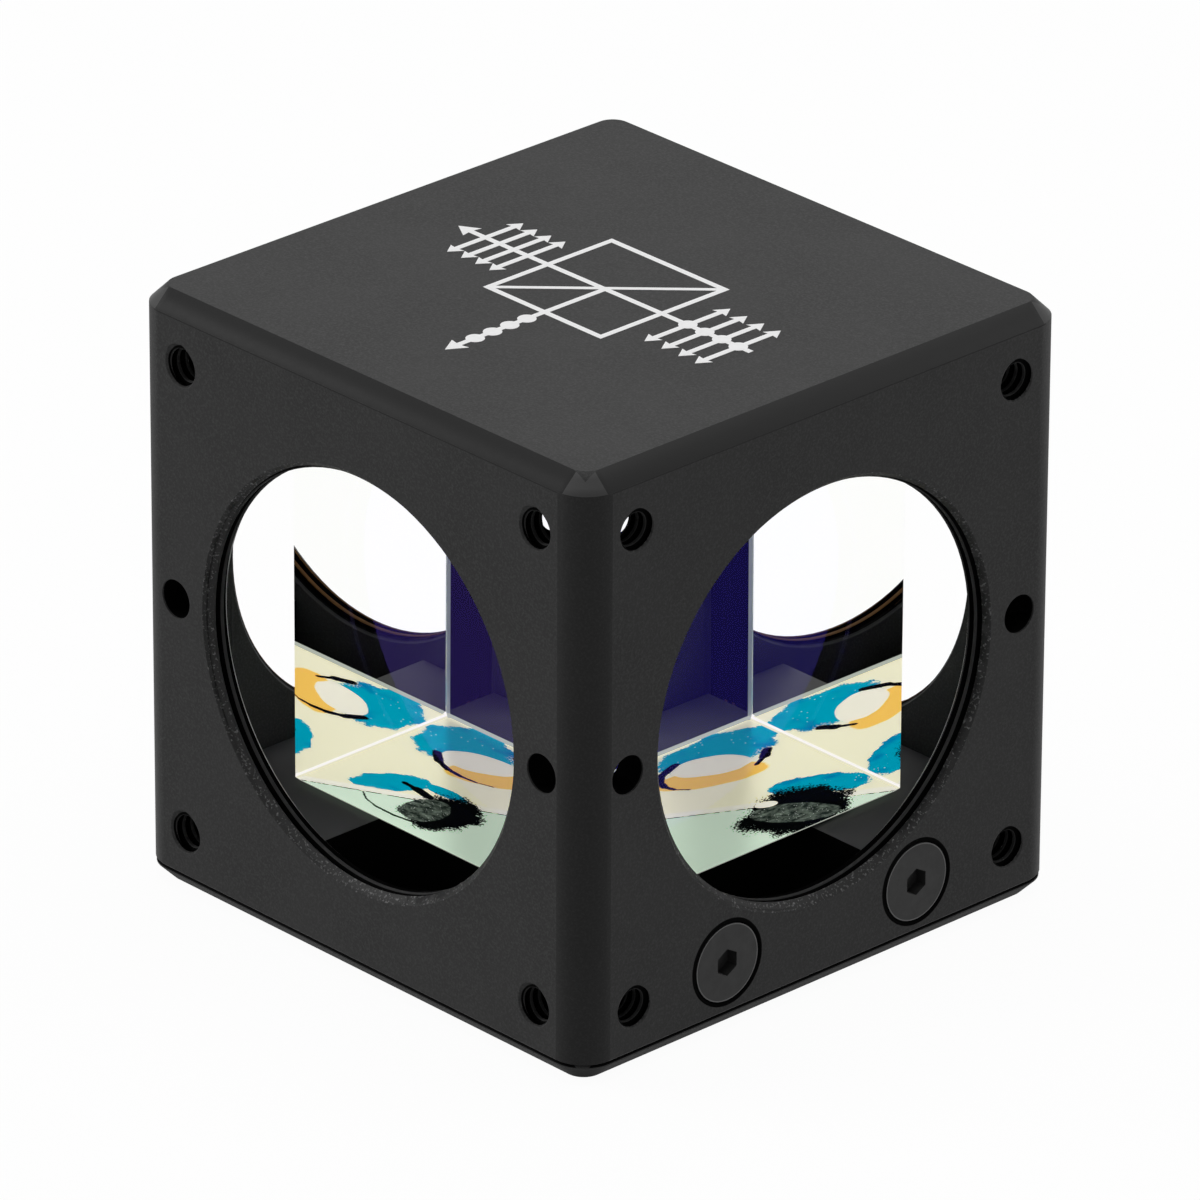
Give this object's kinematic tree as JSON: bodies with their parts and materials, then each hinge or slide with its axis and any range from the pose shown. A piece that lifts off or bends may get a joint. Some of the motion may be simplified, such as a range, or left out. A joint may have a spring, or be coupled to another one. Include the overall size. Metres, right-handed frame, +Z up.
{
  "type": "optical cage cube",
  "caption": "Black anodised cage cube with a threaded port in each side, a cemented glass beamsplitter inside and a screwed base plate.",
  "frame": {"origin": "where the four port axes cross, which is also the centre of the cube's outline and of the glass", "axes": "+X out of the face with the two clamp screws, -Y out of the face where the reflected beam leaves, +Z up, away from the base plate. The cemented face of the glass is the plane y = x."},
  "size_m": [0.0382, 0.0382, 0.0382],
  "materials": {
    "black_anodised": "fine-blasted, matte black anodised",
    "optical_glass": "polished",
    "cured_adhesive": "cured clear resin",
    "black_steel": "black oxide, satin"
  },
  "bodies": {
    "root": {"housing": "black_anodised", "base_plate": "black_anodised", "front_prism": "optical_glass", "rear_prism": "optical_glass", "adhesive_dot_front": "cured_adhesive", "adhesive_dot_rear": "cured_adhesive", "adhesive_dot_left": "cured_adhesive", "adhesive_dot_right": "cured_adhesive", "clamp_screw_left": "black_steel", "clamp_screw_right": "black_steel"}
  },
  "joints": []
}
